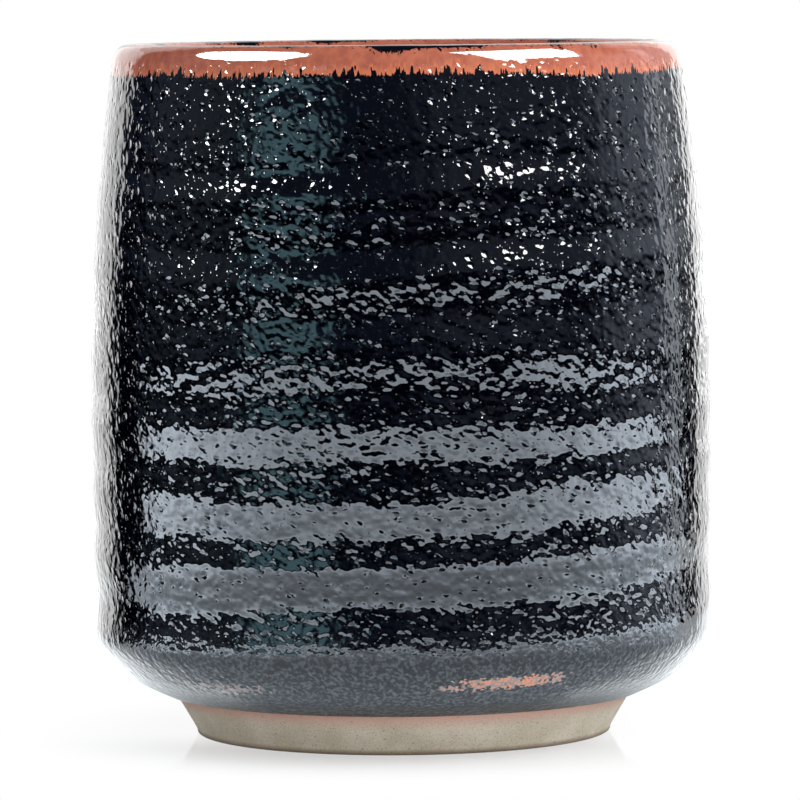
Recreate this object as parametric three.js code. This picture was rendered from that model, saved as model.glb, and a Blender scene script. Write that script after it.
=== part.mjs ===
// A handleless tea cup, wheel-thrown in stoneware: a clay body standing on a bare foot ring, a black glaze
// outside, a rust-coloured glaze over the lip and a black liner glaze inside.
// Millimetres, +Z up. The origin is on the table, under the middle of the foot.
import * as THREE from "three";

// Driving dimensions of the fired clay, under the glaze.
const CUP_HEIGHT = 88.4; // table to the crest of the lip
const BELLY_DIAMETER = 78.8; // outside of the wall at its widest
const BELLY_HEIGHT = 45.5; // table to the widest level
const UPPER_WALL_BEND = 61.5; // height where the upper wall starts to lean in
const RIM_DIAMETER = 72.8; // outside of the wall at the lower edge of the lip glaze
const LIP_THICKNESS = 3.3; // wall at the lower edge of the lip glaze
const LIP_LEAN = 0.1; // how far the crest leans in from there
const LIP_SHOULDER = 2.2; // length of the nearly straight outside of the lip
const LIP_ROUND = 1.1; // half-width of the flattened crest
const WALL_THICKNESS = 4.2; // wall from the belly down
const HEEL_DIAMETER = 78; // outside of the wall where it turns in to the base
const HEEL_HEIGHT = 13.5; // table to that turn
const HEEL_RISE = 2; // length of the turn that stays upright
const UNDERSIDE_RUN = 5.2; // length of the turn that stays flat
const UNDERSIDE_SLOPE = 12; // degrees above level, at the foot
const FLOOR_THICKNESS = 5.2; // floor at its middle
const FLOOR_DISH = 0.5; // how far the floor's edge stands above its middle
const FLOOR_DIAMETER = 48; // the flat of the floor, inside its rounded corner
const WELL_HEIGHT = 11; // inside, how far the rounded corner climbs above the floor's edge

// Driving dimensions of the foot ring.
const FOOT_HEIGHT = 6; // table to the base of the body
const FOOT_TOP_DIAMETER = 59.9; // outside, where it meets the body
const FOOT_BOTTOM_DIAMETER = 53.5; // outside, on the table
const FOOT_FLARE = 5.2; // height, below the body, over which its outside flares
const FOOT_RING_WIDTH = 5; // flat bearing face on the table, edges included
const FOOT_RECESS_DRAFT = 0.8; // how far the recess narrows on its way up
const FOOT_EDGE = 0.5; // worn chamfer on both edges of the bearing face

// Driving dimensions of the glazes, each fused to the clay under it.
const GLAZE_THICKNESS = 0.6;
const RIM_BAND = 3.1; // how far the lip glaze reaches down from the crest, outside and inside

const SEGMENTS = 48; // flats round the cup
// Points along each stretch of the clay's outline.
const STEPS = { heel: 6, lowerWall: 3, upperWall: 5, lip: 5, corner: 5, floor: 2, foot: 3 };

const point = (radius, height) => new THREE.Vector2(radius, height);
const bellyRadius = BELLY_DIAMETER / 2;
const rimRadius = RIM_DIAMETER / 2;
const heelRadius = HEEL_DIAMETER / 2;
const bandHeight = CUP_HEIGHT - RIM_BAND;
const floorHeight = FOOT_HEIGHT + FLOOR_THICKNESS;

// Landmarks of the clay's outline, in the order in which it is walked: up the outside, over the lip, down inside.
const baseCorner = point(FOOT_TOP_DIAMETER / 2, FOOT_HEIGHT);
const heel = point(heelRadius, HEEL_HEIGHT);
const lowerBend = point(bellyRadius, (HEEL_HEIGHT + BELLY_HEIGHT) / 2);
const belly = point(bellyRadius, BELLY_HEIGHT);
const upperBend = point(bellyRadius, UPPER_WALL_BEND);
const rimOutside = point(rimRadius, bandHeight);
const crest = point(rimRadius - LIP_LEAN - LIP_THICKNESS / 2, CUP_HEIGHT);
const rimInside = point(rimRadius - LIP_THICKNESS, bandHeight);
const upperBendInside = point(bellyRadius - WALL_THICKNESS, UPPER_WALL_BEND);
const bellyInside = point(bellyRadius - WALL_THICKNESS, BELLY_HEIGHT);
const floorEdge = point(FLOOR_DIAMETER / 2, floorHeight + FLOOR_DISH);
const wellTop = point(heelRadius - WALL_THICKNESS, floorEdge.y + WELL_HEIGHT);
const lowerBendInside = point(bellyRadius - WALL_THICKNESS, (wellTop.y + BELLY_HEIGHT) / 2);
const wellCorner = point(wellTop.x, floorEdge.y);
const floorMiddle = point(0, floorHeight);

// The point that lies a given distance past `to`, on the line that comes from `from`.
function beyond(from, to, distance) {
  return to.clone().sub(from).setLength(distance).add(to);
}

function heelCurve() {
  const slope = THREE.MathUtils.degToRad(UNDERSIDE_SLOPE);
  const run = point(Math.cos(slope), Math.sin(slope)).multiplyScalar(UNDERSIDE_RUN).add(baseCorner);
  return new THREE.CubicBezierCurve(baseCorner, run, beyond(lowerBend, heel, HEEL_RISE), heel);
}

function lipOutsideCurve() {
  const shoulder = beyond(upperBend, rimOutside, LIP_SHOULDER);
  return new THREE.CubicBezierCurve(rimOutside, shoulder, point(crest.x + LIP_ROUND, crest.y), crest);
}

function lipInsideCurve() {
  const shoulder = beyond(upperBendInside, rimInside, LIP_SHOULDER);
  return new THREE.CubicBezierCurve(crest, point(crest.x - LIP_ROUND, crest.y), shoulder, rimInside);
}

// The stretches of the clay's outline that carry each glaze.
const OUTER_STRETCHES = [
  [heelCurve(), STEPS.heel],
  [new THREE.QuadraticBezierCurve(heel, lowerBend, belly), STEPS.lowerWall],
  [new THREE.QuadraticBezierCurve(belly, upperBend, rimOutside), STEPS.upperWall],
];
const LIP_STRETCHES = [
  [lipOutsideCurve(), STEPS.lip],
  [lipInsideCurve(), STEPS.lip],
];
const INNER_STRETCHES = [
  [new THREE.QuadraticBezierCurve(rimInside, upperBendInside, bellyInside), STEPS.upperWall],
  [new THREE.QuadraticBezierCurve(bellyInside, lowerBendInside, wellTop), STEPS.lowerWall],
  [new THREE.QuadraticBezierCurve(wellTop, wellCorner, floorEdge), STEPS.corner],
  [new THREE.LineCurve(floorEdge, floorMiddle), STEPS.floor],
];

// One line of points along stretches that follow on from each other.
function pointsAlong(stretches) {
  return stretches.flatMap(([curve, steps], index) => curve.getPoints(steps).slice(index ? 1 : 0));
}

const outerClay = pointsAlong(OUTER_STRETCHES);
const lipClay = pointsAlong(LIP_STRETCHES);
const innerClay = pointsAlong(INNER_STRETCHES);
const clayLine = [...outerClay, ...lipClay.slice(1), ...innerClay.slice(1)];

// The surface of the glaze: each point of the clay's outline moved out, square to the outline there.
const glazeLine = clayLine.map((here, index) => {
  const before = clayLine[Math.max(index - 1, 0)];
  const after = clayLine[Math.min(index + 1, clayLine.length - 1)];
  const along = after.clone().sub(before);
  const out = index === clayLine.length - 1 ? point(0, 1) : point(along.y, -along.x);
  return out.setLength(GLAZE_THICKNESS).add(here);
});

// A solid of revolution. The outline is walked anticlockwise, seen with the axis on its left.
function turned(outline) {
  const area = THREE.ShapeUtils.area(outline);
  const ordered = area > 0 ? outline : [...outline].reverse();
  return new THREE.LatheGeometry(ordered, SEGMENTS).rotateX(Math.PI / 2);
}

// A coat of glaze over the clay between two points of its outline.
function coat(first, last) {
  const surface = glazeLine.slice(first, last + 1);
  const clay = clayLine.slice(first, last + 1).reverse();
  return turned([...surface, ...clay, surface[0]]);
}

function clayBody() {
  return turned([point(0, FOOT_HEIGHT), ...clayLine]);
}

// The ring's outside flares up to the body, its inside narrows up to the recess, and its bearing face is flat.
function footRing() {
  const outside = FOOT_BOTTOM_DIAMETER / 2;
  const inside = outside - FOOT_RING_WIDTH;
  const flare = new THREE.QuadraticBezierCurve(
    point(outside, FOOT_EDGE),
    point(outside, FOOT_HEIGHT - FOOT_FLARE),
    baseCorner,
  );
  const section = [
    point(inside + FOOT_EDGE, 0),
    point(outside - FOOT_EDGE, 0),
    ...flare.getPoints(STEPS.foot),
    point(inside - FOOT_RECESS_DRAFT, FOOT_HEIGHT),
    point(inside, FOOT_EDGE),
  ];
  return turned([...section, section[0]]);
}

const stoneware = new THREE.MeshStandardMaterial({ color: 0xb4a792, roughness: 0.9, metalness: 0 });
const blackGlaze = new THREE.MeshStandardMaterial({ color: 0x0b0d13, roughness: 0.12, metalness: 0 });
const rustGlaze = new THREE.MeshStandardMaterial({ color: 0xb4653f, roughness: 0.2, metalness: 0 });
const linerGlaze = new THREE.MeshStandardMaterial({ color: 0x0d0e12, roughness: 0.15, metalness: 0 });

const rimOutsideIndex = outerClay.length - 1;
const rimInsideIndex = rimOutsideIndex + lipClay.length - 1;

const cup = new THREE.Group();
for (const [name, geometry, material] of [
  ["clay_body", clayBody(), stoneware],
  ["foot_ring", footRing(), stoneware],
  ["outer_glaze", coat(0, rimOutsideIndex), blackGlaze],
  ["rim_glaze", coat(rimOutsideIndex, rimInsideIndex), rustGlaze],
  ["inner_glaze", coat(rimInsideIndex, clayLine.length - 1), linerGlaze],
]) {
  const mesh = new THREE.Mesh(geometry, material);
  mesh.name = name;
  cup.add(mesh);
}

export default cup;
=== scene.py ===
import math

import bpy
from mathutils import Matrix, Vector


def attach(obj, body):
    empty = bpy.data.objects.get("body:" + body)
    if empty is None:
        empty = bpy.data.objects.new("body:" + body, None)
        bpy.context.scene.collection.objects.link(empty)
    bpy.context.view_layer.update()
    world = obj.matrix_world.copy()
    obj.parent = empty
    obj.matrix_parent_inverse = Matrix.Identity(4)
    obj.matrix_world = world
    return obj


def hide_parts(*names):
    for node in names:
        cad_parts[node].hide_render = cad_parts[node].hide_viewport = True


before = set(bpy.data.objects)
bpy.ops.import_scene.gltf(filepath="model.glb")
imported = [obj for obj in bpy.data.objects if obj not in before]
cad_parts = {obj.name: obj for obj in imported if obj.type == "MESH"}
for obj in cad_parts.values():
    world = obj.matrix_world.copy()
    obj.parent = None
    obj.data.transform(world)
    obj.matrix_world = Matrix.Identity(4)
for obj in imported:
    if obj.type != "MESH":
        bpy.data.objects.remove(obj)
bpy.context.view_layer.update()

# Sizes are in metres, and bearings in degrees round from the front, counted to the right
MM = 0.001

# The thrown clay under the glaze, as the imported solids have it
CREST_HEIGHT = 88.4 * MM
BELLY_RADIUS = 39.4 * MM
BELLY_HEIGHT = 45.5 * MM
UPPER_WALL_BEND = 61.5 * MM
RIM_RADIUS = 36.4 * MM
LIP_THICKNESS = 3.3 * MM
LIP_LEAN = 0.1 * MM
LIP_SHOULDER = 2.2 * MM
LIP_ROUND = 1.1 * MM
WALL_THICKNESS = 4.2 * MM
HEEL_RADIUS = 39 * MM
HEEL_HEIGHT = 13.5 * MM
HEEL_RISE = 2 * MM
UNDERSIDE_RUN = 5.2 * MM
UNDERSIDE_SLOPE = math.radians(12)
FLOOR_THICKNESS = 5.2 * MM
FLOOR_DISH = 0.5 * MM
FLOOR_RADIUS = 24 * MM
WELL_HEIGHT = 11 * MM
RIM_BAND = 3.1 * MM

# The foot ring
FOOT_HEIGHT = 6 * MM
FOOT_TOP_RADIUS = 29.95 * MM
FOOT_BOTTOM_RADIUS = 26.75 * MM
FOOT_FLARE = 5.2 * MM
FOOT_RING_WIDTH = 5 * MM
FOOT_RECESS_DRAFT = 0.8 * MM
FOOT_EDGE = 0.5 * MM
FOOT_SEAT = 0.2 * MM  # height at its top that keeps its plain shape, against the body

# The glaze coats
GLAZE_THICKNESS = 0.6 * MM
GLAZE_NOSE = 0.7 * MM  # length over which the lower edge rounds down to the clay
GLAZE_BEAD = 0.25 * MM  # extra thickness where the melted glaze gathered above that edge
GLAZE_BEAD_REACH = 1.3 * MM

# Fineness of the meshes
COLUMNS = 560
ROW_OUTSIDE = 0.52 * MM
ROW_LIP = 0.2 * MM
ROW_INSIDE = 0.9 * MM
ROW_FOOT = 0.28 * MM
ROW_FOOT_TOP = 2 * MM
ROW_HIDDEN = 12 * MM
SEAM_GAP = 2e-6  # points closer than this are joined
SHARP_EDGE = math.radians(50)

# Throwing marks
RING_PITCH = 8.74 * MM
RING_STRETCH = 192  # turns lost per square metre of height, as the rings space out upwards
RING_DEPTH = 0.12 * MM
RING_FLATNESS = 0.93  # from round marks at 0 to marks with flat flanks at 1
RING_START = 40.3 * MM  # height at which a ring swells outwards, at the front
RING_LOW = 8 * MM
RING_LOW_INSIDE = 22 * MM  # above the rounded corner of the cup's floor
RING_HIGH = 86.5 * MM
RING_FADE = 6 * MM  # height over which the marks grow at the bottom
RING_TOP_FADE = 20 * MM  # and die out at the top
RING_DRIFT = 0.2  # how far, in turns, the marks wander
RING_DRIFT_SIZE = 30 * MM
RING_UNEVEN = (0.8, 1.15)  # how much shallower and deeper the marks are from place to place
RING_UNEVEN_SIZE = 18 * MM
RING_HEEL_GAIN = 1.7  # how much deeper the marks are low on the wall
RING_HEEL_REACH = (20 * MM, 32 * MM)
RING_WAIST_GAIN = 0.7  # how much shallower above the belly
RING_WAIST_REACH = (41 * MM, 47 * MM)
RING_LIP_GAIN = 3.0  # how much deeper again above that, at the front
RING_LIP_REACH = (52 * MM, 62 * MM)
RING_LIP_BEARINGS = (-48, 48)
RING_LIP_SOFT = 14
RING_LEDGE = 0.62  # how much steeper the upper side of a mark is there
RING_LEDGE_REACH = (57 * MM, 66 * MM)
RING_WIDE_BELOW = 23.6 * MM  # height below which the lowest mark is wider than the rest
RING_WIDENING = 36  # turns lost per metre below that

# Where the marks sink or wane: how far, then the bearings and levels with their soft edges
RING_DIP = 0.26  # in turns: the middle marks sink on the right
RING_DIP_PATCH = ((25, 120), 25, (38 * MM, 56 * MM), 3 * MM)
RING_SAG = 0.14  # in turns: the lower marks sink in the middle
RING_SAG_PATCH = ((-28, 8), 18, (24 * MM, 36 * MM), 4 * MM)
RING_WANE = 0.45  # as a share: the marks above the belly are shallower on the left
RING_WANE_PATCH = ((-75, -22), 18, (45 * MM, 70 * MM), 3 * MM)

# Other unevenness of the thrown and glazed surface
HEEL_FLARE = 0.14 * MM  # how far the wall flares out again above the heel
HEEL_FLARE_REACH = (12.5 * MM, 21 * MM)
HEEL_FLARE_FADE = (9.5 * MM, 13.5 * MM)
SWELL_DEPTH = 0.12 * MM
SWELL_SIZE = 39 * MM
RIPPLE_DEPTH = 0.08 * MM
RIPPLE_SIZE = 2.6 * MM
CLAY_RIPPLE_DEPTH = 0.02 * MM
CLAY_RIPPLE_SIZE = 1.2 * MM

# Camera, fitted to the photograph
CAMERA_DISTANCE = 0.7792
CAMERA_HEIGHT = 0.0975
CAMERA_SIDE = -0.00013
CAMERA_AIM = 0.0428
CAMERA_ROLL = math.radians(0.51)
CAMERA_LENS = 272.07
CAMERA_REACH = 20
SENSOR = 36.0


# Outlines, as points (radius, height) walked up the outside, over the lip and down inside

def bezier(corners, spacing):
    """Points along a Bezier curve, about one for each spacing of its length."""
    length = sum((b - a).length for a, b in zip(corners, corners[1:]))
    steps = max(2, round(length / spacing))
    points = []
    for step in range(steps + 1):
        level = [corner.copy() for corner in corners]
        while len(level) > 1:
            level = [a.lerp(b, step / steps) for a, b in zip(level, level[1:])]
        points.append(level[0])
    return points


def beyond(start, through, distance):
    """The point a distance past the second point, on the line from the first."""
    return through + (through - start).normalized() * distance


def chain(*stretches):
    """Joins stretches that follow on, without repeating the points that they share."""
    points = list(stretches[0])
    for stretch in stretches[1:]:
        points += stretch[1:]
    return points


def clay_stretches():
    """The clay's outline in three stretches: outside, lip and inside."""
    base_corner = Vector((FOOT_TOP_RADIUS, FOOT_HEIGHT))
    underside = base_corner + UNDERSIDE_RUN * Vector((math.cos(UNDERSIDE_SLOPE), math.sin(UNDERSIDE_SLOPE)))
    heel = Vector((HEEL_RADIUS, HEEL_HEIGHT))
    lower_bend = Vector((BELLY_RADIUS, (HEEL_HEIGHT + BELLY_HEIGHT) / 2))
    belly = Vector((BELLY_RADIUS, BELLY_HEIGHT))
    upper_bend = Vector((BELLY_RADIUS, UPPER_WALL_BEND))
    rim_outside = Vector((RIM_RADIUS, CREST_HEIGHT - RIM_BAND))
    crest = Vector((RIM_RADIUS - LIP_LEAN - LIP_THICKNESS / 2, CREST_HEIGHT))
    rim_inside = Vector((RIM_RADIUS - LIP_THICKNESS, CREST_HEIGHT - RIM_BAND))
    inner_radius = BELLY_RADIUS - WALL_THICKNESS
    upper_bend_inside = Vector((inner_radius, UPPER_WALL_BEND))
    belly_inside = Vector((inner_radius, BELLY_HEIGHT))
    floor_height = FOOT_HEIGHT + FLOOR_THICKNESS
    floor_edge = Vector((FLOOR_RADIUS, floor_height + FLOOR_DISH))
    well_top = Vector((HEEL_RADIUS - WALL_THICKNESS, floor_edge.y + WELL_HEIGHT))
    lower_bend_inside = Vector((inner_radius, (well_top.y + BELLY_HEIGHT) / 2))
    well_corner = Vector((well_top.x, floor_edge.y))
    floor_middle = Vector((0, floor_height))

    heel_turn = beyond(lower_bend, heel, HEEL_RISE)
    shoulder_outside = beyond(upper_bend, rim_outside, LIP_SHOULDER)
    shoulder_inside = beyond(upper_bend_inside, rim_inside, LIP_SHOULDER)
    half_crest = Vector((LIP_ROUND, 0))
    outside = chain(
        bezier([base_corner, underside, heel_turn, heel], ROW_OUTSIDE),
        bezier([heel, lower_bend, belly], ROW_OUTSIDE),
        bezier([belly, upper_bend, rim_outside], ROW_OUTSIDE),
    )
    lip = chain(
        bezier([rim_outside, shoulder_outside, crest + half_crest, crest], ROW_LIP),
        bezier([crest, crest - half_crest, shoulder_inside, rim_inside], ROW_LIP),
    )
    inside = chain(
        bezier([rim_inside, upper_bend_inside, belly_inside], ROW_INSIDE),
        bezier([belly_inside, lower_bend_inside, well_top], ROW_INSIDE),
        bezier([well_top, well_corner, floor_edge], ROW_INSIDE),
        bezier([floor_edge, floor_middle], ROW_INSIDE),
    )
    return outside, lip, inside


def outward_along(points):
    """The outward direction at each point of an outline that ends on the axis."""
    directions = []
    for index, _ in enumerate(points):
        along = points[min(index + 1, len(points) - 1)] - points[max(index - 1, 0)]
        directions.append(Vector((along.y, -along.x)).normalized())
    directions[-1] = Vector((0, 1))
    return directions


def distances_along(points):
    total = [0.0]
    for a, b in zip(points, points[1:]):
        total.append(total[-1] + (b - a).length)
    return total


class Outline:
    """The outline of the clay with the glaze on it, and how far each point lies from the crest."""

    def __init__(self):
        outside, lip, inside = clay_stretches()
        self.clay = chain(outside, lip, inside)
        self.out = outward_along(self.clay)
        self.rim_outside = len(outside) - 1
        self.rim_inside = self.rim_outside + len(lip) - 1
        self.end = len(self.clay) - 1
        edge = distances_along(self.clay)
        crest = max(range(len(self.clay)), key=lambda index: self.clay[index].y)
        self.run = [edge[crest] - distance for distance in edge]
        self.glaze = [
            clay + out * self.thickness(distance) for clay, out, distance in zip(self.clay, self.out, edge)
        ]

    @staticmethod
    def thickness(from_edge):
        """Glaze thickness by the distance from its lower edge, where it gathered in a rounded bead."""
        bead = GLAZE_BEAD * math.exp(-((from_edge / GLAZE_BEAD_REACH) ** 2))
        nose = math.sqrt(1 - max(0.0, 1 - from_edge / GLAZE_NOSE) ** 2)
        return (GLAZE_THICKNESS + bead) * nose

    def coat(self, first, last):
        """A closed section of the coat between two points: its surface, then back along the clay."""
        edge = self.run[0]
        section = [
            (self.glaze[i], self.out[i], self.run[i], min(1.0, (edge - self.run[i]) / GLAZE_BEAD_REACH))
            for i in range(first, last + 1)
        ]
        row = distances_along(self.clay[first:last + 1])[-1] / (last - first)
        stride = max(1, round(ROW_HIDDEN / row))
        hidden = sorted({*range(first, last + 1, stride), last}, reverse=True)
        section += [(self.clay[i], self.out[i], self.run[i], 0.0) for i in hidden]
        return section + section[:1]


def foot_section():
    """The closed section of the foot ring, with the worn edges of its bearing face."""
    outside = FOOT_BOTTOM_RADIUS
    inside = outside - FOOT_RING_WIDTH
    base_corner = Vector((FOOT_TOP_RADIUS, FOOT_HEIGHT))
    recess_top = Vector((inside - FOOT_RECESS_DRAFT, FOOT_HEIGHT))
    bearing_inside = Vector((inside + FOOT_EDGE, 0))
    bearing_outside = Vector((outside - FOOT_EDGE, 0))
    outside_bottom = Vector((outside, FOOT_EDGE))
    inside_bottom = Vector((inside, FOOT_EDGE))
    flare = Vector((outside, FOOT_HEIGHT - FOOT_FLARE))
    points = chain(
        bezier([bearing_inside, bearing_outside], ROW_FOOT),
        bezier([bearing_outside, Vector((outside, 0)), outside_bottom], ROW_FOOT / 2),
        bezier([outside_bottom, flare, base_corner], ROW_FOOT),
        bezier([base_corner, recess_top], ROW_FOOT_TOP),
        bezier([recess_top, inside_bottom], ROW_FOOT),
        bezier([inside_bottom, Vector((inside, 0)), bearing_inside], ROW_FOOT / 2),
    )
    out = outward_along(points)
    out[-1] = out[0] = Vector((0, -1))
    covers = [1.0 if point.y < FOOT_HEIGHT - FOOT_SEAT else 0.0 for point in points]
    return [(point, direction, 0.0, cover) for point, direction, cover in zip(points, out, covers)]


# Node trees

NOISE_SPAN = (0.25, 0.75)  # values between which nearly all of a noise lies
NOISE_MIDDLE = (0.3, 0.7)


def add_node(tree, kind, inputs=None, **settings):
    """Adds a node, sets its properties, and links or sets its inputs by name or number."""
    node = tree.nodes.new(kind)
    for name, value in settings.items():
        setattr(node, name, value)
    for key, value in (inputs or {}).items():
        if isinstance(value, bpy.types.NodeSocket):
            tree.links.new(value, node.inputs[key])
        else:
            node.inputs[key].default_value = value
    return node


def maths(tree, operation, *values):
    return add_node(tree, "ShaderNodeMath", dict(enumerate(values)), operation=operation).outputs[0]


def product(tree, first, *others):
    for other in others:
        first = maths(tree, "MULTIPLY", first, other)
    return first


def added(tree, first, *others):
    for other in others:
        first = maths(tree, "ADD", first, other)
    return first


def difference(tree, first, second):
    return maths(tree, "SUBTRACT", first, second)


def vector_maths(tree, operation, inputs):
    return add_node(tree, "ShaderNodeVectorMath", inputs, operation=operation).outputs[0]


def parts_of(tree, vector):
    return add_node(tree, "ShaderNodeSeparateXYZ", {0: vector}).outputs


def bearing_of(tree, vector):
    """Degrees round from the front, counted to the right."""
    place = parts_of(tree, vector)
    frontwards = product(tree, place["Y"], -1.0)
    return maths(tree, "DEGREES", maths(tree, "ARCTAN2", place["X"], frontwards))


def ramp(tree, value, low, high, to_low=0.0, to_high=1.0, kind="SMOOTHSTEP"):
    """A step of a value, smooth or straight, from to_low at low to to_high at high."""
    limits = {"Value": value, "From Min": low, "From Max": high, "To Min": to_low, "To Max": to_high}
    return add_node(tree, "ShaderNodeMapRange", limits, interpolation_type=kind).outputs["Result"]


def within(tree, value, limits, soft):
    """1 between two limits, with soft edges."""
    low, high = limits
    rise = ramp(tree, value, low - soft, low + soft)
    fall = ramp(tree, value, high - soft, high + soft, 1.0, 0.0)
    return product(tree, rise, fall)


def patch(tree, around, level, bearings, soft_bearings, levels, soft_levels):
    """1 between two bearings and two levels, with soft edges."""
    across = within(tree, around, bearings, soft_bearings)
    return product(tree, across, within(tree, level, levels, soft_levels))


def noise(tree, vector, size, detail=2.0):
    """Noise from 0 to 1 whose features are about the given size."""
    given = isinstance(size, bpy.types.NodeSocket)
    scale = maths(tree, "DIVIDE", 1.0, size) if given else 1 / size
    return add_node(tree, "ShaderNodeTexNoise",
                    {"Vector": vector, "Scale": scale, "Detail": detail}).outputs[0]


def centred_noise(tree, vector, size, detail=2.0):
    return difference(tree, noise(tree, vector, size, detail), 0.5)


def sample_row(tree, profile, row, name, data_type):
    attribute = add_node(tree, "GeometryNodeInputNamedAttribute", {"Name": name}, data_type=data_type)
    inputs = {"Geometry": profile, "Value": attribute.outputs["Attribute"], "Index": row}
    sample = add_node(tree, "GeometryNodeSampleIndex", inputs, data_type=data_type, domain="POINT")
    return sample.outputs["Value"]


TURNED_INPUTS = {
    "Section": "NodeSocketObject",
    "Rows": "NodeSocketInt",
    "Columns": "NodeSocketInt",
    **dict.fromkeys([
        "Ring Depth", "Ring Pitch", "Ring Stretch", "Ring Start", "Ring Low", "Ring High",
        "Flare", "Swell Depth", "Ripple Depth", "Ripple Size",
    ], "NodeSocketFloat"),
    "Material": "NodeSocketMaterial",
}
FRONT_TURN = 0.25  # share of a turn from the front round to the first column


def ring_wave(tree, given, place, level, angle, around):
    """The throwing marks from -1 in a groove to 1 on a ridge, wound up round the cup with flat flanks."""
    rise = difference(tree, level, given["Ring Start"])
    stretch = product(tree, rise, rise, given["Ring Stretch"])
    climbed = difference(tree, maths(tree, "DIVIDE", rise, given["Ring Pitch"]), stretch)
    below = maths(tree, "MAXIMUM", difference(tree, RING_WIDE_BELOW, level), 0.0)
    climbed = added(tree, climbed, product(tree, below, RING_WIDENING))
    wound = added(tree, maths(tree, "DIVIDE", angle, -math.tau), -FRONT_TURN)
    dip = product(tree, patch(tree, around, level, *RING_DIP_PATCH), RING_DIP)
    sag = product(tree, patch(tree, around, level, *RING_SAG_PATCH), RING_SAG)
    wound = added(tree, wound, added(tree, dip, sag))
    drift = product(tree, centred_noise(tree, place, RING_DRIFT_SIZE), 2 * RING_DRIFT)
    phase = product(tree, added(tree, climbed, wound, drift), math.tau)
    ledge = ramp(tree, level, *RING_LEDGE_REACH, 0.0, RING_LEDGE)
    leaning = difference(tree, phase, product(tree, ledge, maths(tree, "SINE", phase)))
    folded = maths(tree, "ARCSINE", product(tree, maths(tree, "SINE", leaning), RING_FLATNESS))
    return maths(tree, "DIVIDE", folded, math.asin(RING_FLATNESS))


def ring_strength(tree, given, place, level, around):
    """How deep the throwing marks are from place to place."""
    low_end = added(tree, given["Ring Low"], RING_FADE)
    top_start = difference(tree, given["Ring High"], RING_TOP_FADE)
    fade_in = ramp(tree, level, given["Ring Low"], low_end)
    fade_out = ramp(tree, level, top_start, given["Ring High"], 1.0, 0.0)
    uneven = ramp(tree, noise(tree, place, RING_UNEVEN_SIZE), *NOISE_SPAN, *RING_UNEVEN)
    heel_gain = ramp(tree, level, *RING_HEEL_REACH, RING_HEEL_GAIN, 1.0)
    lip_side = product(tree, ramp(tree, level, *RING_LIP_REACH),
                       within(tree, around, RING_LIP_BEARINGS, RING_LIP_SOFT))
    lip_gain = ramp(tree, lip_side, 0.0, 1.0, 1.0, RING_LIP_GAIN, kind="LINEAR")
    waist_gain = ramp(tree, level, *RING_WAIST_REACH, 1.0, RING_WAIST_GAIN)
    gain = product(tree, product(tree, heel_gain, lip_gain), product(tree, waist_gain, uneven))
    wane = patch(tree, around, level, *RING_WANE_PATCH)
    gain = product(tree, gain, ramp(tree, wane, 0.0, 1.0, 1.0, 1.0 - RING_WANE))
    return product(tree, fade_in, fade_out, gain)


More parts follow.
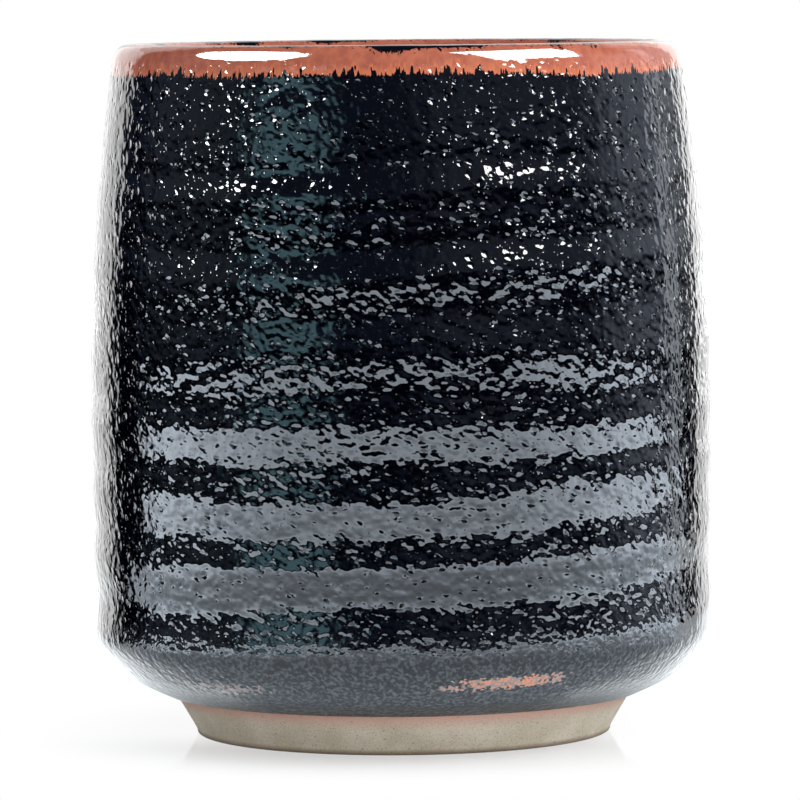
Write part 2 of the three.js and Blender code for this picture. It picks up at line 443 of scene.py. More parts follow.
def turned_piece_tree():
    """Turns a section round the cup's axis and gives its surface throwing marks, swells and ripples."""
    tree = bpy.data.node_groups.new("turned_piece", "GeometryNodeTree")
    tree.interface.new_socket("Geometry", in_out="INPUT", socket_type="NodeSocketGeometry")
    for name, kind in TURNED_INPUTS.items():
        tree.interface.new_socket(name, in_out="INPUT", socket_type=kind)
    tree.interface.new_socket("Geometry", in_out="OUTPUT", socket_type="NodeSocketGeometry")
    given = add_node(tree, "NodeGroupInput").outputs

    profile = add_node(tree, "GeometryNodeObjectInfo", {"Object": given["Section"]}).outputs["Geometry"]
    columns_and_seam = added(tree, given["Columns"], 1.0)
    grid = add_node(tree, "GeometryNodeMeshGrid",
                    {"Vertices X": columns_and_seam, "Vertices Y": given["Rows"]}).outputs["Mesh"]
    index = add_node(tree, "GeometryNodeInputIndex").outputs[0]
    row = maths(tree, "FLOORED_MODULO", index, given["Rows"])
    column = maths(tree, "FLOOR", maths(tree, "DIVIDE", index, given["Rows"]))
    angle = product(tree, maths(tree, "DIVIDE", column, given["Columns"]), math.tau)

    point = parts_of(tree, sample_row(tree, profile, row, "position", "FLOAT_VECTOR"))
    out = parts_of(tree, sample_row(tree, profile, row, "outward", "FLOAT_VECTOR"))
    run = sample_row(tree, profile, row, "run", "FLOAT")
    cover = sample_row(tree, profile, row, "cover", "FLOAT")
    cosine = maths(tree, "COSINE", angle)
    sine = maths(tree, "SINE", angle)

    def turned(radial, height):
        across = product(tree, radial, cosine)
        back = product(tree, radial, sine)
        return add_node(tree, "ShaderNodeCombineXYZ", {0: across, 1: back, 2: height}).outputs[0]

    place = turned(point["X"], point["Z"])
    outward = turned(out["X"], out["Z"])
    level = point["Z"]
    around = bearing_of(tree, place)
    ring = product(tree, ring_wave(tree, given, place, level, angle, around), given["Ring Depth"],
                   ring_strength(tree, given, place, level, around))
    flare = product(tree, ramp(tree, level, *HEEL_FLARE_REACH, 1.0, 0.0),
                    ramp(tree, level, *HEEL_FLARE_FADE), given["Flare"])
    swell = product(tree, centred_noise(tree, place, SWELL_SIZE), given["Swell Depth"])
    ripple = product(tree, centred_noise(tree, place, given["Ripple Size"], 1.0), given["Ripple Depth"])
    depth = product(tree, added(tree, ring, flare, swell, ripple), cover)
    raised = vector_maths(tree, "SCALE", {0: outward, "Scale": depth})
    surface = vector_maths(tree, "ADD", {0: place, 1: raised})

    shaped = add_node(tree, "GeometryNodeSetPosition", {"Geometry": grid, "Position": surface}).outputs[0]
    marked = add_node(tree, "GeometryNodeStoreNamedAttribute",
                      {"Geometry": shaped, "Name": "run", "Value": run},
                      data_type="FLOAT", domain="POINT").outputs[0]
    closed = add_node(tree, "GeometryNodeMergeByDistance",
                      {"Geometry": marked, "Distance": SEAM_GAP}).outputs[0]
    smooth = add_node(tree, "GeometryNodeSetShadeSmooth", {"Geometry": closed}).outputs[0]
    realized = add_node(tree, "GeometryNodeRealizeInstances", {"Geometry": smooth}).outputs[0]
    finished = add_node(tree, "GeometryNodeSetMaterial",
                        {"Geometry": realized, "Material": given["Material"]}).outputs[0]
    add_node(tree, "NodeGroupOutput", {"Geometry": finished})
    return tree


def section_object(name, section):
    """A line of points that carries the outward direction, run and cover of each."""
    mesh = bpy.data.meshes.new(name)
    mesh.from_pydata([(point.x, 0, point.y) for point, _, _, _ in section], [], [])
    outward = mesh.attributes.new("outward", "FLOAT_VECTOR", "POINT")
    outward.data.foreach_set("vector", [part for _, out, _, _ in section for part in (out.x, 0, out.y)])
    run = mesh.attributes.new("run", "FLOAT", "POINT")
    run.data.foreach_set("value", [distance for _, _, distance, _ in section])
    cover = mesh.attributes.new("cover", "FLOAT", "POINT")
    cover.data.foreach_set("value", [covered for _, _, _, covered in section])
    return bpy.data.objects.new(name, mesh)


def turned_piece(name, section, tree, values):
    """Runs the tree on a section and keeps the result as a plain mesh."""
    line = section_object(name + "_section", section)
    maker = bpy.data.objects.new(name + "_maker", bpy.data.meshes.new(name + "_maker"))
    bpy.context.scene.collection.objects.link(maker)
    modifier = maker.modifiers.new("turned", "NODES")
    modifier.node_group = tree
    entries = {"Section": line, "Rows": len(section), **values}
    for socket in tree.interface.items_tree:
        if socket.in_out == "INPUT" and socket.name in entries:
            modifier[socket.identifier] = entries[socket.name]
    evaluated = maker.evaluated_get(bpy.context.evaluated_depsgraph_get())
    mesh = bpy.data.meshes.new_from_object(evaluated)
    mesh.name = name
    maker.modifiers.remove(modifier)
    bpy.data.objects.remove(maker)
    bpy.data.objects.remove(line)
    mesh.set_sharp_from_angle(angle=SHARP_EDGE)
    piece = bpy.data.objects.new(name, mesh)
    bpy.context.scene.collection.objects.link(piece)
    return piece


# Materials

def rgb(red, green, blue):
    """A shader colour from display values of 0 to 255."""
    def linear(value):
        share = value / 255
        return share / 12.92 if share <= 0.04045 else ((share + 0.055) / 1.055) ** 2.4
    return (linear(red), linear(green), linear(blue), 1.0)


WHITE = (1.0, 1.0, 1.0, 1.0)

# The black glaze
BLACK = (0.0003, 0.0006, 0.0018, 1.0)
IRON_TINT = (0.012, 0.010, 0.012, 1.0)
IRON_SIZE = 0.45 * MM
IRON_NOISE = (0.55, 0.8)
GLAZE_IOR = 1.75
GLAZE_ROUGHNESS = 0.05
LINER_ROUGHNESS = 0.08

# The skin of the glaze, too fine for the meshes
SKIN_UNIT = 0.1 * MM
SKIN_TWIST = 4  # radians per metre of height, as the glaze crept while it melted
SKIN_ON_LIP = 0.06  # how much of its height is left on the smooth lip
SKIN_ON_HEEL = 0.5  # and under the coarser skin of the heel
PEEL_SIZE = 1.5 * MM
PEEL_DEPTH = 0.18 * MM
WARP_SIZE = 0.8 * MM
WARP_REACH = 0.4 * MM
# Spacing, radius and depth of each size of burst bubble
PITS = [
    (1.5 * MM, 0.56 * MM, 0.088 * MM),
    (0.7 * MM, 0.14 * MM, 0.031 * MM),
]
PIT_LEAST = 0.75  # radius of the smallest pit of a size, as a share of the largest
PIT_GAIN = 1.5  # how much deeper they are towards the lip
PIT_REACH = (52 * MM, 66 * MM)

# The rust where the glaze thins over the lip, by distance from the crest
RUST_BROWN = rgb(166, 92, 73)
RUST_LIGHT_BROWN = rgb(188, 109, 84)
RUST_ORANGE = rgb(202, 116, 82)
RUST_MOTTLE_SIZE = 1.4 * MM
RUST_LOWER = (3.9 * MM, 4.6 * MM)  # where it ends outside, from place to place
RUST_LOWER_SIZE = 16 * MM
RUST_LOWER_INSIDE = 3.6 * MM
RUST_LOWER_SOFT = 0.08 * MM
RUST_ORANGE_REACH = (0.1 * MM, 1.3 * MM)  # above that end
RUST_SOFT = 0.1 * MM
CREEP = (0.2 * MM, 1.3 * MM)  # how far the black creeps down from the crest
CREEP_SIZE = 11 * MM
CREEP_NOISE = (0.5, 0.68)
CREEP_NEEDLES = 0.5  # length of the needles there, as a share of those at the lower end
CREEP_SQUEEZE = 0.3
NEEDLE_SQUEEZE = 0.12  # how much the needles' noise is drawn out upright
LONG_NEEDLE_WIDTH = 0.42 * MM
LONG_NEEDLE_LENGTH = 1.1 * MM
LONG_NEEDLE_NOISE = (0.45, 0.75)
SHORT_NEEDLE_WIDTH = 0.2 * MM
SHORT_NEEDLE_LENGTH = 0.35 * MM
SMOOTH_LIP = (2.0 * MM, 3.2 * MM)  # how far from the crest the skin is smooth

# The coarser, drier skin of the heel, pale flecks that are partly painted sheen, and the rust that breaks
# through it
GRAIN_SIZE = 0.75 * MM
GRAIN_DEPTH = 0.15 * MM
GRAIN_TOP = (14 * MM, 19 * MM)
GRAIN_RAGGED = 3 * MM  # size and height of its ragged upper edge
FLECK_SIZE = 0.5 * MM
FLECK_NOISE = (0.42, 0.66)
# Pale blue-grey flecks where the glaze runs thin low on the heel, and in part painted sheen: they stand in
# for the glints that the heel's fine bumps catch from the floor
SHEEN_AND_THIN_GLAZE_COLOUR = rgb(118, 126, 130)
FLECK_LEVELS = (9 * MM, 17 * MM)
FLECK_SHARE = (0.45, 0.15)  # how strong the flecks are at those levels
DRY_EDGE = (80 * MM, 86 * MM)  # how far from the crest the glaze turns dry at its lower edge
DRY_ROUGHNESS = (0.07, 0.35)
SPECK_SPACING = 0.5 * MM
SPECK_LEVEL = 10.5 * MM
SPECK_SPREAD = (0.2 * MM, 1.2 * MM)  # distance from that level over which they thin out
SPECK_HIGHEST = 40  # bearing at which the line of specks stands highest
SPECK_SAG = 0.02 * MM  # how far it falls for each degree from there
SPECK_ORANGE_BEARINGS = (9, 30)
SPECK_PALE_BEARINGS = (-46, -28)
SPECK_PALE_SHARE = 0.6
SPECK_SOFT = 6
SPECK_EDGE = 0.15  # how gradually specks come in as they get denser
SPECK_CORE = (0.4, 0.6)  # share of a cell within which a speck is orange
SPECK_COLOUR = rgb(216, 142, 108)
HALO_COLOUR = rgb(172, 158, 152)
HALO_SHARE = 0.7

# Bare clay
CLAY_ROUGHNESS = 0.85
CLAY_IOR = 1.45
CLAY_DARK = rgb(190, 179, 158)
CLAY_PALE = rgb(207, 197, 179)
CLAY_CLOUD_SIZE = 5 * MM
CLAY_GRAIN_SIZE = 0.2 * MM
CLAY_GRAIN_DEPTH = 0.05 * MM
DARK_GRAIN_COLOUR = rgb(120, 110, 94)
DARK_GRAIN_NOISE = (0.55, 0.75)
DARK_GRAIN_SHARE = 0.75
PALE_GRAIN_COLOUR = rgb(230, 222, 206)
PALE_GRAIN_NOISE = (0.25, 0.42)
PALE_GRAIN_SHARE = 0.6
CLAY_SPECK_SPACING = 1.6 * MM
CLAY_SPECK_RADIUS = 0.22 * MM
CLAY_SPECK_COLOUR = rgb(72, 62, 54)
CLAY_MARK_SHARE = 0.8  # how strong specks, flush and the darkening at the base are
FLASH_COLOUR = rgb(200, 144, 128)
FLASH_LEVELS = (3.4 * MM, 5.8 * MM)  # where the clay flushes towards the glaze
FLASH_RAGGED = 0.6 * MM
# Darker towards the foot's bottom edge, over its lowest millimetre
BASE_DARK_COLOUR = rgb(112, 92, 74)
BASE_DARK_LEVELS = (0.2 * MM, 0.9 * MM)


def new_material(name, roughness, ior):
    """A material with its shader, whose even values are set on the shader itself."""
    material = bpy.data.materials.new(name)
    material.use_nodes = True
    shader = material.node_tree.nodes["Principled BSDF"]
    shader.inputs["Roughness"].default_value = roughness
    shader.inputs["IOR"].default_value = ior
    return material, material.node_tree, shader


def shader_group(name, inputs, outputs):
    tree = bpy.data.node_groups.new(name, "ShaderNodeTree")
    for socket, kind in inputs.items():
        tree.interface.new_socket(socket, in_out="INPUT", socket_type=kind)
    for socket, kind in outputs.items():
        tree.interface.new_socket(socket, in_out="OUTPUT", socket_type=kind)
    return tree, add_node(tree, "NodeGroupInput").outputs


def use_group(tree, group, inputs):
    return add_node(tree, "ShaderNodeGroup", inputs, node_tree=group).outputs


def mix_colour(tree, factor, first, second):
    return add_node(tree, "ShaderNodeMix", {0: factor, 6: first, 7: second}, data_type="RGBA").outputs[2]


def object_vector(tree):
    return add_node(tree, "ShaderNodeTexCoord").outputs["Object"]


def run_along(tree):
    return add_node(tree, "ShaderNodeAttribute", attribute_name="run").outputs["Fac"]


def squeezed(tree, vector, up):
    """Coordinates whose height counts for less, so that a pattern on them is drawn out upright."""
    return add_node(tree, "ShaderNodeMapping", {"Vector": vector, "Scale": (1.0, 1.0, up)}).outputs[0]


def soft_step(tree, value, soft):
    return ramp(tree, value, -soft, soft)


def add_bump(tree, shader, height, distance):
    bump = add_node(tree, "ShaderNodeBump", {"Height": height, "Distance": distance, "Strength": 1.0})
    tree.links.new(bump.outputs["Normal"], shader.inputs["Normal"])


def cells_of(tree, vector, spacing):
    """Random cells: the distance from the middle of each, in spacings, and a random value for each."""
    cells = add_node(tree, "ShaderNodeTexVoronoi", {"Vector": vector, "Scale": 1 / spacing},
                     feature="F1", voronoi_dimensions="3D").outputs
    random = add_node(tree, "ShaderNodeSeparateColor", {0: cells["Color"]}).outputs[0]
    return cells["Distance"], random


def pits(tree, vector, spacing, radius):
    """Round pits of differing sizes at random places: 1 in the middle of a pit, 0 outside it."""
    distance, random = cells_of(tree, vector, spacing)
    widest = radius / spacing
    reach = ramp(tree, random, 0.0, 1.0, PIT_LEAST * widest, widest)
    return ramp(tree, distance, 0.0, reach, 1.0, 0.0, kind="LINEAR")


def glaze_skin_group():
    """Height of the glaze's skin, in units of SKIN_UNIT: a gentle orange peel with burst bubbles in it."""
    tree, given = shader_group("glaze_skin", {"Vector": "NodeSocketVector"}, {"Height": "NodeSocketFloat"})
    level = parts_of(tree, given["Vector"])["Z"]
    vector = add_node(tree, "ShaderNodeVectorRotate", {
        "Vector": given["Vector"], "Angle": product(tree, level, SKIN_TWIST),
    }, rotation_type="Z_AXIS").outputs[0]
    height = product(tree, centred_noise(tree, vector, PEEL_SIZE, 1.0), PEEL_DEPTH / SKIN_UNIT)
    deeper = ramp(tree, level, *PIT_REACH, 1.0, PIT_GAIN)
    shift = add_node(tree, "ShaderNodeTexNoise",
                     {"Vector": vector, "Scale": 1 / WARP_SIZE, "Detail": 0.0}).outputs[1]
    centred = vector_maths(tree, "SUBTRACT", {0: shift, 1: (0.5, 0.5, 0.5)})
    pushed = vector_maths(tree, "SCALE", {0: centred, "Scale": WARP_REACH})
    warped = vector_maths(tree, "ADD", {0: vector, 1: pushed})
    for spacing, radius, depth in PITS:
        sunk = product(tree, pits(tree, warped, spacing, radius), depth / SKIN_UNIT, deeper)
        height = difference(tree, height, sunk)
    add_node(tree, "NodeGroupOutput", {"Height": height})
    return tree


def lip_break_group():
    """Where the glaze thins over the lip and breaks to rust, with black needles running into it."""
    tree, given = shader_group("lip_break", {
        "Vector": "NodeSocketVector", "Run": "NodeSocketFloat",
    }, {"Rust": "NodeSocketFloat", "Colour": "NodeSocketColor", "Smooth": "NodeSocketFloat"})
    vector = given["Vector"]
    run = given["Run"]
    drawn = squeezed(tree, vector, NEEDLE_SQUEEZE)
    long_needles = ramp(tree, noise(tree, drawn, LONG_NEEDLE_WIDTH, 1.0), *LONG_NEEDLE_NOISE,
                        0.0, LONG_NEEDLE_LENGTH)
    short_needles = ramp(tree, noise(tree, drawn, SHORT_NEEDLE_WIDTH, 0.0), *NOISE_MIDDLE,
                         0.0, SHORT_NEEDLE_LENGTH)
    needles = added(tree, long_needles, short_needles)
    wander = ramp(tree, noise(tree, vector, RUST_LOWER_SIZE, 1.0), *NOISE_SPAN, *RUST_LOWER)
    above_lower = difference(tree, difference(tree, wander, needles), run)
    crept = noise(tree, squeezed(tree, vector, CREEP_SQUEEZE), CREEP_SIZE, 1.0)
    creep = ramp(tree, crept, *CREEP_NOISE, *CREEP)
    upper = added(tree, creep, product(tree, needles, CREEP_NEEDLES))
    outside = product(tree, soft_step(tree, above_lower, RUST_LOWER_SOFT),
                      soft_step(tree, difference(tree, run, upper), RUST_SOFT))
    inner_upper = product(tree, upper, -1.0)
    inner_lower = added(tree, needles, -RUST_LOWER_INSIDE)
    inside = product(tree, soft_step(tree, difference(tree, inner_upper, run), RUST_SOFT),
                     soft_step(tree, difference(tree, run, inner_lower), RUST_SOFT))
    rust = maths(tree, "MAXIMUM", outside, inside)
    orange = ramp(tree, above_lower, *RUST_ORANGE_REACH, 1.0, 0.0)
    mottle = ramp(tree, noise(tree, vector, RUST_MOTTLE_SIZE, 3.0), *NOISE_MIDDLE)
    brown = mix_colour(tree, mottle, RUST_BROWN, RUST_LIGHT_BROWN)
    colour = mix_colour(tree, orange, brown, RUST_ORANGE)
    smooth = ramp(tree, maths(tree, "ABSOLUTE", run), *SMOOTH_LIP, 1.0, 0.0)
    add_node(tree, "NodeGroupOutput", {"Rust": rust, "Colour": colour, "Smooth": smooth})
    return tree


def heel_masks(tree, vector, level):
    """How coarse the skin is by height, and where rust breaks through it in specks with pale edges."""
    ragged = added(tree, level, product(tree, noise(tree, vector, GRAIN_RAGGED), GRAIN_RAGGED))
    grainy = ramp(tree, ragged, *GRAIN_TOP, 1.0, 0.0)
    around = bearing_of(tree, vector)
    sag = product(tree, maths(tree, "ABSOLUTE", difference(tree, around, SPECK_HIGHEST)), SPECK_SAG)
    off_line = maths(tree, "ABSOLUTE", difference(tree, added(tree, level, sag), SPECK_LEVEL))
    near = ramp(tree, off_line, *SPECK_SPREAD, 1.0, 0.0)
    orange = within(tree, around, SPECK_ORANGE_BEARINGS, SPECK_SOFT)
    pale = product(tree, within(tree, around, SPECK_PALE_BEARINGS, SPECK_SOFT), SPECK_PALE_SHARE)
    strength = product(tree, maths(tree, "MAXIMUM", orange, pale), near)
    distance, random = cells_of(tree, vector, SPECK_SPACING)
    kept = ramp(tree, difference(tree, strength, random), 0.0, SPECK_EDGE)
    core = ramp(tree, distance, *SPECK_CORE, 1.0, 0.0)
    return grainy, product(tree, kept, HALO_SHARE), product(tree, kept, core, orange)


def glaze_material(name, groups, roughness, heel=False):
    """A glossy pitted glaze that breaks to rust over the lip and, with a heel, turns coarse and dry there."""
    material, tree, shader = new_material(name, roughness, GLAZE_IOR)
    vector = object_vector(tree)
    lip = use_group(tree, groups["lip_break"], {"Vector": vector, "Run": run_along(tree)})
    tint = ramp(tree, noise(tree, vector, IRON_SIZE), *IRON_NOISE)
    colour = mix_colour(tree, tint, BLACK, IRON_TINT)
    colour = mix_colour(tree, lip["Rust"], colour, lip["Colour"])
    skin = use_group(tree, groups["glaze_skin"], {"Vector": vector})
    height = product(tree, skin["Height"], ramp(tree, lip["Smooth"], 0.0, 1.0, 1.0, SKIN_ON_LIP))
    if heel:
        level = parts_of(tree, vector)["Z"]
        grainy, halo, rust = heel_masks(tree, vector, level)
        # Pale flecks, stronger lower down: thin glaze in part, painted sheen in part
        flecks = ramp(tree, noise(tree, vector, FLECK_SIZE), *FLECK_NOISE)
        thin_glaze_and_sheen = ramp(tree, level, *FLECK_LEVELS, *FLECK_SHARE)
        fleck_and_sheen = product(tree, flecks, product(tree, grainy, thin_glaze_and_sheen))
        colour = mix_colour(tree, fleck_and_sheen, colour, SHEEN_AND_THIN_GLAZE_COLOUR)
        colour = mix_colour(tree, halo, colour, HALO_COLOUR)
        colour = mix_colour(tree, rust, colour, SPECK_COLOUR)
        height = product(tree, height, ramp(tree, grainy, 0.0, 1.0, 1.0, SKIN_ON_HEEL))
        grain = centred_noise(tree, vector, GRAIN_SIZE, 1.0)
        height = added(tree, height, product(tree, grain, grainy, GRAIN_DEPTH / SKIN_UNIT))
        dry = ramp(tree, run_along(tree), *DRY_EDGE, *DRY_ROUGHNESS)
        tree.links.new(ramp(tree, grainy, 0.0, 1.0, roughness, dry), shader.inputs["Roughness"])
    tree.links.new(colour, shader.inputs["Base Color"])
    add_bump(tree, shader, height, SKIN_UNIT)
    return material


def stoneware_material():
    """Bare fired clay with dark and pale grains, a flashed line under the glaze and a lower edge that darkens
    towards the floor.
    """
    material, tree, shader = new_material("bare_stoneware", CLAY_ROUGHNESS, CLAY_IOR)
    vector = object_vector(tree)
    level = parts_of(tree, vector)["Z"]
    cloud = noise(tree, vector, CLAY_CLOUD_SIZE, 3.0)
    clay = mix_colour(tree, ramp(tree, cloud, *NOISE_MIDDLE), CLAY_DARK, CLAY_PALE)
    grain = noise(tree, vector, CLAY_GRAIN_SIZE)
    dark = ramp(tree, grain, *DARK_GRAIN_NOISE, 0.0, DARK_GRAIN_SHARE)
    clay = mix_colour(tree, dark, clay, DARK_GRAIN_COLOUR)
    pale = ramp(tree, grain, *PALE_GRAIN_NOISE, PALE_GRAIN_SHARE, 0.0)
    clay = mix_colour(tree, pale, clay, PALE_GRAIN_COLOUR)
    specks = pits(tree, vector, CLAY_SPECK_SPACING, CLAY_SPECK_RADIUS)
    clay = mix_colour(tree, product(tree, specks, CLAY_MARK_SHARE), clay, CLAY_SPECK_COLOUR)
    ragged = added(tree, level, product(tree, cloud, FLASH_RAGGED))
    flash = ramp(tree, ragged, *FLASH_LEVELS, 0.0, CLAY_MARK_SHARE)
    clay = mix_colour(tree, flash, clay, FLASH_COLOUR)
    darker_at_base = ramp(tree, level, *BASE_DARK_LEVELS, CLAY_MARK_SHARE, 0.0)
    clay = mix_colour(tree, darker_at_base, clay, BASE_DARK_COLOUR)
    tree.links.new(clay, shader.inputs["Base Color"])
    add_bump(tree, shader, grain, CLAY_GRAIN_DEPTH)
    return material


# Pieces

def build_cup():
    outline = Outline()
    tree = turned_piece_tree()
    groups = {"glaze_skin": glaze_skin_group(), "lip_break": lip_break_group()}
    clay = stoneware_material()
    black = glaze_material("black_glaze", groups, GLAZE_ROUGHNESS, heel=True)
    rust = glaze_material("rust_glaze", groups, GLAZE_ROUGHNESS)
    liner = glaze_material("liner_glaze", groups, LINER_ROUGHNESS)
    skin = {
        "Columns": COLUMNS,
        "Ring Depth": RING_DEPTH,
        "Ring Pitch": RING_PITCH,
        "Ring Stretch": RING_STRETCH,
        "Ring Start": RING_START,
        "Ring Low": RING_LOW,
        "Ring High": RING_HIGH,
        "Flare": HEEL_FLARE,
        "Swell Depth": SWELL_DEPTH,
        "Ripple Depth": RIPPLE_DEPTH,
        "Ripple Size": RIPPLE_SIZE,
    }
    plain = {**skin, "Flare": 0.0, "Ring Low": RING_LOW_INSIDE}
    bare = {
        **plain,
        "Ring Depth": 0.0,
        "Swell Depth": 0.0,
        "Ripple Depth": CLAY_RIPPLE_DEPTH,
        "Ripple Size": CLAY_RIPPLE_SIZE,
    }
    wall = outline.coat(0, outline.rim_outside)
    lip = outline.coat(outline.rim_outside, outline.rim_inside)
    inside = outline.coat(outline.rim_inside, outline.end)
    plans = [
        ("glazed_wall", "outer_glaze", "black_glaze", wall, skin, black),
        ("glazed_lip", "rim_glaze", "rust_glaze", lip, skin, rust),
        ("glazed_inside", "inner_glaze", "liner_glaze", inside, plain, liner),
        ("turned_foot", "foot_ring", "stoneware", foot_section(), bare, clay),
    ]
    for name, node, slot, section, surface, material in plans:
        piece = turned_piece(name, section, tree, {**surface, "Material": material})
        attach(piece, "root")
        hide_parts(node)
    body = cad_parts["clay_body"]
    body.data.materials.clear()
    body.data.materials.append(clay)


# Stage

FLOOR_FRONT = 0.335  # the floor ends here, in front of the cup
FLOOR_BACK = 2.0
FLOOR_SIDE = 0.42
FLOOR_COLOUR = (0.9, 0.95, 1.0, 1.0)
FLOOR_ROUGHNESS = 0.08
FLOOR_IOR = 1.45
FILL = (0.6, 0.6, 0.6, 1.0)  # light from all round
LAMP_AIM = Vector((0, 0, 0.05))
WALL_PASS = 34 * MM  # how far from the cup's axis light passes on its way from the floor by the wall's side
WALL_PASS_BEARINGS = (0, 60)  # bearings over which that comes to count
GLOW_HEIGHT = 0.5 * MM
SIDE_GAIN_BEARINGS = (40, 95)  # bearings, to either side, over which a glow reaches its side gain
LAMP_POWER = 4  # energy per square metre of a rectangular lamp whose surface has a brightness of 1

# The floor as the glaze mirrors it, by bearing and by distance from the cup's axis
MIRRORED_DARK = (0.0, 0.0, 0.002, 1.0)
GLOW_COLOUR = (0.77, 0.865, 0.975, 1.0)
BACKLIT_COLOUR = (1.55, 1.66, 1.72, 1.0)  # close behind the cup
BACKLIT_REACH = (0.08, 0.2)
BEHIND = (112, 140)  # bearings, to either side, over which the floor turns from lit to backlit
LEFT_ENDS = (-125, -109)  # bearings at which the lit floor ends on the left, close to the cup and far
LEFT_END_REACH = (0.085, 0.2)
RIGHT_ENDS = (139, 108)  # and on the right
RIGHT_END_REACH = (0.17, 0.26)
END_SOFT = 5
UNLIT_BEARINGS = (-135, 142)  # bearings at which the floor is light again, past those ends
UNLIT_SOFT = 4
UNLIT_REACH = (0.075, 0.1)
STRIP_COLOUR = (1.55, 1.65, 1.8, 1.0)
STRIP_BEARINGS = (118, 125)  # an upright pale strip that the wall mirrors on the right
STRIP_SOFT = 3
UNDER_FOOT = (0.024, 0.035)  # painted shadow: where the floor that the glaze mirrors darkens under the foot
UNDER_FOOT_SHARE = 0.2
UNDER_HEEL = (0.06, 0.14)  # and under the heel
UNDER_HEEL_SHARE = 0.85

# The shadow round the foot, as the camera sees it
SHADOW_REACH = (0.028, 0.052)
SHADOW_SHARE = 0.5
SHADOW_DEPTHS = (-0.022, 0.0)  # from just inside the foot's front back to its middle
SHADOW_BACK = 0.3


def mirrored_bearing(tree, position):
    """The bearing at which the wall mirrors a point of the floor, and the point's distance."""
    away = add_node(tree, "ShaderNodeVectorMath", {0: position}, operation="LENGTH").outputs["Value"]
    around = bearing_of(tree, position)
    share = maths(tree, "MINIMUM", maths(tree, "DIVIDE", WALL_PASS, away), 1.0)
    turn = product(tree, maths(tree, "DEGREES", maths(tree, "ARCSINE", share)),
                   ramp(tree, maths(tree, "ABSOLUTE", around), *WALL_PASS_BEARINGS))
    return added(tree, around, product(tree, turn, maths(tree, "SIGN", around))), away


def past_lit_floor(tree, bearing, away):
    """1 past the ends of the brightly lit floor, on the left and on the right."""
    left_end = ramp(tree, away, *LEFT_END_REACH, *LEFT_ENDS)
    left = ramp(tree, difference(tree, bearing, left_end), -END_SOFT, END_SOFT, 1.0, 0.0)
    right_end = ramp(tree, away, *RIGHT_END_REACH, *RIGHT_ENDS)
    right = soft_step(tree, difference(tree, bearing, right_end), END_SOFT)
    return maths(tree, "MAXIMUM", left, right)


def mirrored_floor(tree, position):
    """The colour that the glaze mirrors from each point of the floor, and the point's distance."""
    bearing, away = mirrored_bearing(tree, position)
    unlit = product(tree, within(tree, bearing, UNLIT_BEARINGS, UNLIT_SOFT),
                    past_lit_floor(tree, bearing, away), ramp(tree, away, *UNLIT_REACH))
    strip = within(tree, bearing, STRIP_BEARINGS, STRIP_SOFT)
    behind = ramp(tree, maths(tree, "ABSOLUTE", bearing), *BEHIND)
    backlit = mix_colour(tree, ramp(tree, away, *BACKLIT_REACH), BACKLIT_COLOUR, WHITE)
    lit = mix_colour(tree, behind, GLOW_COLOUR, backlit)
    mirrored = mix_colour(tree, unlit, lit, mix_colour(tree, strip, MIRRORED_DARK, STRIP_COLOUR))
    # Painted shadow of the cup on the floor that the glaze mirrors, under the foot and the heel
    open_to_light = product(tree, ramp(tree, away, *UNDER_FOOT, UNDER_FOOT_SHARE, 1.0),
                            ramp(tree, away, *UNDER_HEEL, UNDER_HEEL_SHARE, 1.0))
    return mix_colour(tree, open_to_light, MIRRORED_DARK, mirrored), away


def floor_material():
    """A pale floor: white to the camera but for the shadow, and a lit studio floor in the glaze."""
    material, tree, shader = new_material("white_floor", FLOOR_ROUGHNESS, FLOOR_IOR)
    shader.inputs["Base Color"].default_value = FLOOR_COLOUR
    position = object_vector(tree)
    mirrored, away = mirrored_floor(tree, position)
    path = add_node(tree, "ShaderNodeLightPath").outputs
    tint = mix_colour(tree, path["Is Glossy Ray"], WHITE, mirrored)
    white = add_node(tree, "ShaderNodeEmission", {"Color": tint, "Strength": 1.0}).outputs[0]
    depth = parts_of(tree, position)["Y"]
    shadow = product(tree, ramp(tree, away, *SHADOW_REACH, SHADOW_SHARE, 0.0),
                     ramp(tree, depth, *SHADOW_DEPTHS, 1.0, SHADOW_BACK))
    lift = product(tree, path["Is Camera Ray"], difference(tree, 1.0, shadow))
    lift = maths(tree, "MAXIMUM", lift, path["Is Glossy Ray"])
    mixed = add_node(tree, "ShaderNodeMixShader", {0: lift, 1: shader.outputs[0], 2: white}).outputs[0]
    tree.links.new(mixed, tree.nodes["Material Output"].inputs["Surface"])
    return material


def build_floor():
    mesh = bpy.data.meshes.new("floor")
    corners = [
        (-FLOOR_SIDE, -FLOOR_FRONT, 0),
        (FLOOR_SIDE, -FLOOR_FRONT, 0),
        (FLOOR_SIDE, FLOOR_BACK, 0),
        (-FLOOR_SIDE, FLOOR_BACK, 0),
    ]
    mesh.from_pydata(corners, [], [(0, 1, 2, 3)])
    mesh.materials.append(floor_material())
    floor = bpy.data.objects.new("floor", mesh)
    bpy.context.scene.collection.objects.link(floor)


# What the glaze mirrors above the floor: colour, bearings with their soft edge, and degrees up from level
# with theirs
MIRRORED = [
    ((0.034, 0.044, 0.08), (-200, 200), 3, (3, 100), 4),
    ((0.12, 0.135, 0.19), (10, 96), 14, (5, 45), 7),
    ((0.52, 0.6, 0.74), (86, 130), 14, (0, 25), 6),
    ((0.6, 0.65, 0.72), (124, 150), 5, (2, 45), 6),
    (STRIP_COLOUR[:3], STRIP_BEARINGS, STRIP_SOFT, (-15, 30), 5),
    ((1.0, 1.0, 1.0), (-190, -135), 5, (-30, 40), 6),
    ((1.3, 1.3, 1.3), (143, 190), 4, (-30, 40), 5),
    ((0.12, 0.15, 0.195), (-112, -66), 7, (2, 40), 7),
    ((0.5, 0.97, 1.13), (-58, -28), 7, (2, 12), 3),
]


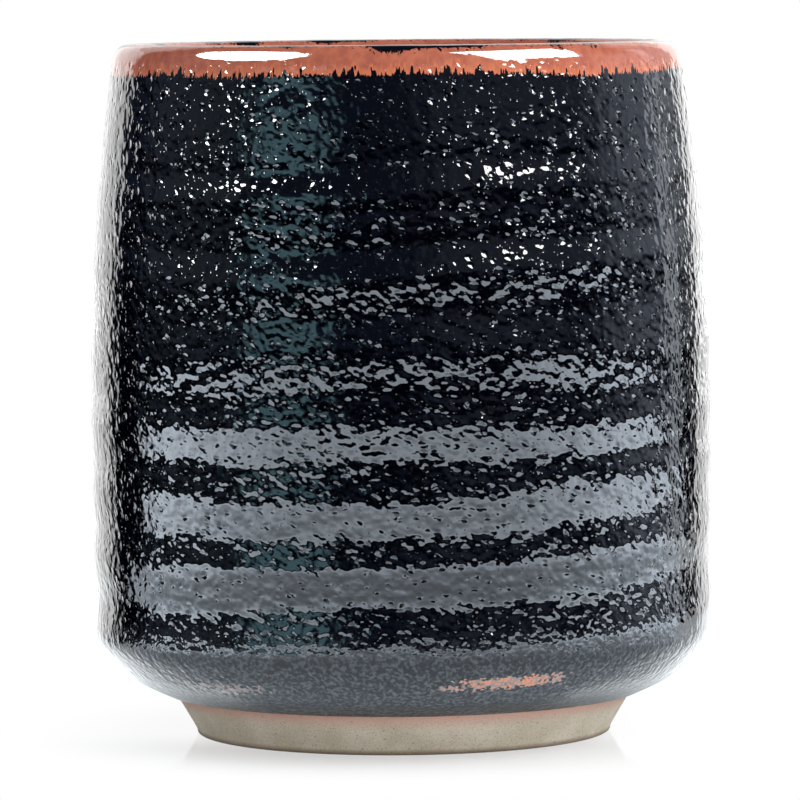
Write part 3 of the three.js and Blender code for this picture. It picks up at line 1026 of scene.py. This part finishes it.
def build_world():
    """Even light, with what the glaze mirrors set by direction: white behind the cup, dark before it."""
    world = bpy.data.worlds.new("studio")
    world.use_nodes = True
    tree = world.node_tree
    direction = add_node(tree, "ShaderNodeTexCoord").outputs["Generated"]
    around = bearing_of(tree, direction)
    up = maths(tree, "DEGREES", maths(tree, "ARCSINE", parts_of(tree, direction)["Z"]))
    mirrored = MIRRORED_DARK
    for colour, *span in MIRRORED:
        mirrored = mix_colour(tree, patch(tree, around, up, *span), mirrored, (*colour, 1.0))
    path = add_node(tree, "ShaderNodeLightPath").outputs
    colour = mix_colour(tree, path["Is Glossy Ray"], FILL, mirrored)
    colour = mix_colour(tree, path["Is Camera Ray"], colour, WHITE)
    tree.links.new(colour, tree.nodes["Background"].inputs["Color"])
    tree.nodes["Background"].inputs["Strength"].default_value = 1.0
    bpy.context.scene.world = world


def area_light(name, width, height, brightness, shape="RECTANGLE"):
    light = bpy.data.lights.new(name, "AREA")
    light.shape = shape
    light.size = width
    light.size_y = height
    light.energy = LAMP_POWER * width * height * brightness
    return light


def place_lamp(light, matrix, diffuse, glossy):
    lamp = bpy.data.objects.new(light.name, light)
    lamp.matrix_world = matrix
    lamp.visible_camera = False
    lamp.visible_diffuse = diffuse
    lamp.visible_glossy = glossy
    bpy.context.scene.collection.objects.link(lamp)


def build_panel(name, bearing, elevation, size, brightness, distance=1.0,
                lights_surfaces=False, shape="RECTANGLE"):
    """A soft panel that shows in the glaze, or one that lights surfaces."""
    around = math.radians(bearing)
    above = math.radians(elevation)
    toward = Vector((
        math.sin(around) * math.cos(above),
        -math.cos(around) * math.cos(above),
        math.sin(above),
    ))
    turn = toward.to_track_quat("Z", "Y").to_matrix().to_4x4()
    place = Matrix.Translation(LAMP_AIM + toward * distance) @ turn
    light = area_light(name, *size, brightness, shape)
    place_lamp(light, place, diffuse=lights_surfaces, glossy=not lights_surfaces)


def build_panels():
    build_panel("left_panel", bearing=-74, elevation=43, size=(0.84, 0.6), brightness=16, shape="ELLIPSE")
    build_panel("right_panel", bearing=62, elevation=44, size=(0.72, 0.6), brightness=13)
    build_panel("left_rear_panel", bearing=-151, elevation=8, size=(0.65, 0.6), brightness=0.5)
    build_panel("right_rear_panel", bearing=155.5, elevation=8, size=(0.48, 0.6), brightness=0.7)
    build_panel("key", bearing=75, elevation=40, distance=1.2, size=(0.8, 0.8), brightness=4.2,
                lights_surfaces=True)
    build_panel("front_fill", bearing=15, elevation=6, distance=1.2, size=(0.8, 0.4), brightness=3.0,
                lights_surfaces=True)


def build_floor_glow(name, depths, width, brightness, colour, reach, bearings, side_gain=1.0, has_ends=False):
    """The brightly lit floor as the glaze mirrors it, dimmer close to the cup.

    The bearings count to either side, so a first one below 0 leaves no gap at the front.
    """
    front, back = depths
    light = area_light(name, width, back - front, brightness)
    light.color = colour
    light.use_nodes = True
    tree = light.node_tree
    position = add_node(tree, "ShaderNodeNewGeometry").outputs["Position"]
    bearing, away = mirrored_bearing(tree, position)
    aside = maths(tree, "ABSOLUTE", bearing)
    beside = product(tree, within(tree, aside, bearings, END_SOFT),
                     ramp(tree, aside, *SIDE_GAIN_BEARINGS, 1.0, side_gain))
    if has_ends:
        beside = product(tree, beside, difference(tree, 1.0, past_lit_floor(tree, bearing, away)))
    strength = product(tree, ramp(tree, away, *reach), beside)
    tree.links.new(strength, tree.nodes["Emission"].inputs["Strength"])
    facing_up = Matrix.Rotation(math.pi, 4, "X")
    place = Matrix.Translation((0, (front + back) / 2, GLOW_HEIGHT)) @ facing_up
    place_lamp(light, place, diffuse=False, glossy=True)


def build_floor_glows():
    build_floor_glow("front_glow", depths=(-FLOOR_FRONT, 0.16), width=2 * FLOOR_SIDE, brightness=1.8,
                     colour=GLOW_COLOUR[:3], reach=(0.04, 0.25), bearings=(-50, 126), side_gain=1.8,
                     has_ends=True)
    build_floor_glow("rear_glow", depths=(-0.06, 1.4), width=2.4, brightness=0.5,
                     colour=WHITE[:3], reach=(0.03, 0.05), bearings=(140, 172))


def build_camera():
    camera = bpy.data.cameras.new("camera")
    camera.lens = CAMERA_LENS
    camera.sensor_width = SENSOR
    camera.clip_end = CAMERA_REACH
    eye = bpy.data.objects.new("camera", camera)
    place = Vector((CAMERA_SIDE, -CAMERA_DISTANCE, CAMERA_HEIGHT))
    aim = Vector((CAMERA_SIDE, 0, CAMERA_AIM))
    turn = (aim - place).to_track_quat("-Z", "Y").to_matrix().to_4x4()
    eye.matrix_world = Matrix.Translation(place) @ turn @ Matrix.Rotation(-CAMERA_ROLL, 4, "Z")
    bpy.context.scene.collection.objects.link(eye)
    bpy.context.scene.camera = eye


bpy.context.scene.view_settings.view_transform = "Standard"
build_cup()
build_floor()
build_world()
build_panels()
build_floor_glows()
build_camera()
